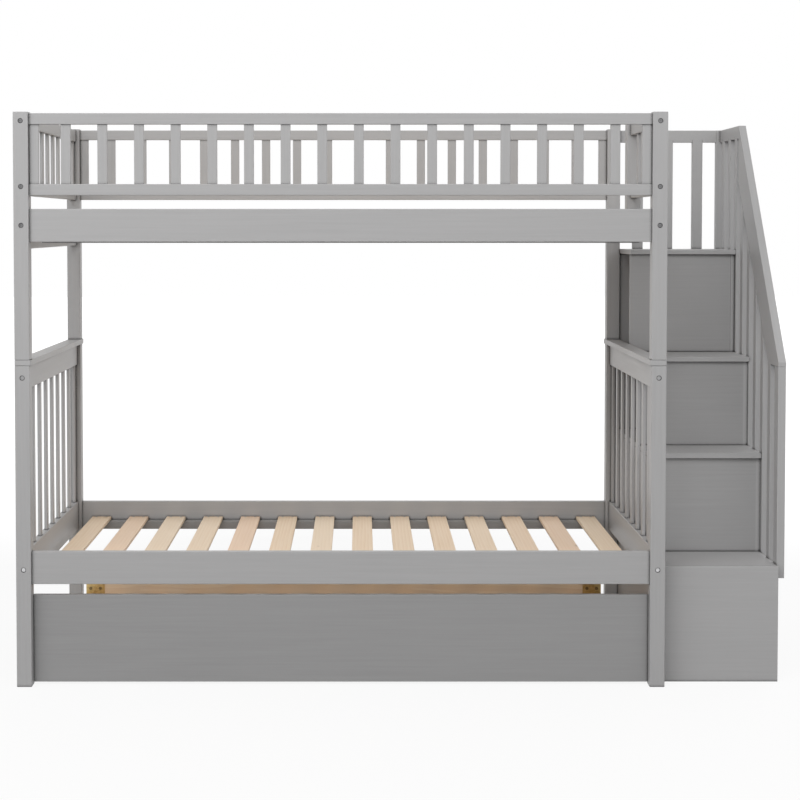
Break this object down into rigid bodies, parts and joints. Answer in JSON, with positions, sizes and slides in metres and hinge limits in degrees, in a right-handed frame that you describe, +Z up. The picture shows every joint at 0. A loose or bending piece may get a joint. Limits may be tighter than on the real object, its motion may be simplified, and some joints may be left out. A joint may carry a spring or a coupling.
{
  "type": "bunk bed",
  "caption": "Painted wood bunk bed with guard rails, side stairs with a slatted handrail, slatted bases and a low trundle bed that rolls out on casters.",
  "frame": {"origin": "on the floor, under the middle of the bounding box", "axes": "+X along the bed towards the stairs, +Y from front to back, +Z up"},
  "size_m": [2.427, 1.067, 1.8],
  "materials": {
    "grey_paint": "satin grey paint on wood",
    "bare_wood": "bare planed pine",
    "bolt_steel": "zinc plated",
    "brass_plate": "yellow zinc plated",
    "caster_metal": "pressed, zinc plated",
    "wheel_plastic": "moulded"
  },
  "bodies": {
    "bed_frame": {"back_guard_rails": "grey_paint", "back_guard_slats": "grey_paint", "barrel_nuts": "bolt_steel", "dowels": "bolt_steel", "end_caps": "grey_paint", "entry_guard_rails": "grey_paint", "entry_guard_slats": "grey_paint", "entry_post": "grey_paint", "frame_bolts": "bolt_steel", "front_guard_rails": "grey_paint", "front_guard_slats": "grey_paint", "lower_bed_slats": "bare_wood", "lower_foot_rails": "grey_paint", "lower_foot_slats": "grey_paint", "lower_head_rails": "grey_paint", "lower_head_slats": "grey_paint", "lower_post_back_left": "grey_paint", "lower_post_back_right": "grey_paint", "lower_post_front_left": "grey_paint", "lower_post_front_right": "grey_paint", "lower_side_rail_back": "grey_paint", "lower_side_rail_front": "grey_paint", "slat_ledges": "grey_paint", "stair_back_panel": "grey_paint", "stair_front_panel": "grey_paint", "stair_guard_posts": "grey_paint", "stair_guard_slats": "grey_paint", "stair_handrail": "grey_paint", "stair_landing": "grey_paint", "stair_left_panels": "grey_paint", "stair_right_panels": "grey_paint", "stair_risers": "grey_paint", "stair_top_rails": "grey_paint", "stair_tread_1": "grey_paint", "stair_tread_2": "grey_paint", "stair_tread_3": "grey_paint", "upper_bed_slats": "bare_wood", "upper_end_rails": "grey_paint", "upper_head_rails": "grey_paint", "upper_head_slats": "grey_paint", "upper_post_back_left": "grey_paint", "upper_post_back_right": "grey_paint", "upper_post_front_left": "grey_paint", "upper_post_front_right": "grey_paint", "upper_side_rail_back": "grey_paint", "upper_side_rail_front": "grey_paint"},
    "trundle": {"bracket_screws": "brass_plate", "caster_axles": "bolt_steel", "caster_forks": "caster_metal", "trundle_back_rail": "bare_wood", "trundle_bed_slats": "bare_wood", "trundle_brackets": "brass_plate", "trundle_caster_boards": "bare_wood", "trundle_end_boards": "bare_wood", "trundle_front_panel": "grey_paint", "trundle_ledges": "bare_wood"},
    "caster_wheel_back_left": {"caster_wheel_back_left": "wheel_plastic"},
    "caster_wheel_back_right": {"caster_wheel_back_right": "wheel_plastic"},
    "caster_wheel_front_left": {"caster_wheel_front_left": "wheel_plastic"},
    "caster_wheel_front_right": {"caster_wheel_front_right": "wheel_plastic"}
  },
  "joints": [
    {"name": "trundle_slide", "type": "slide", "parent": "bed_frame", "child": "trundle", "axis": [0, -1, 0], "range_m": [0, 0.95]},
    {"name": "back_left_wheel_spin", "type": "hinge", "parent": "trundle", "child": "caster_wheel_back_left", "pos_m": [-1.0975, 0.3905, 0.02], "axis": [1, 0, 0], "continuous": true},
    {"name": "back_right_wheel_spin", "type": "hinge", "parent": "trundle", "child": "caster_wheel_back_right", "pos_m": [0.7025, 0.3905, 0.02], "axis": [1, 0, 0], "continuous": true},
    {"name": "front_left_wheel_spin", "type": "hinge", "parent": "trundle", "child": "caster_wheel_front_left", "pos_m": [-1.0975, -0.3795, 0.02], "axis": [1, 0, 0], "continuous": true},
    {"name": "front_right_wheel_spin", "type": "hinge", "parent": "trundle", "child": "caster_wheel_front_right", "pos_m": [0.7025, -0.3795, 0.02], "axis": [1, 0, 0], "continuous": true}
  ],
  "couplings": [
    {"joint": "back_left_wheel_spin", "follows": "trundle_slide", "rad_per_m": 50},
    {"joint": "back_right_wheel_spin", "follows": "trundle_slide", "rad_per_m": 50},
    {"joint": "front_left_wheel_spin", "follows": "trundle_slide", "rad_per_m": 50},
    {"joint": "front_right_wheel_spin", "follows": "trundle_slide", "rad_per_m": 50}
  ]
}
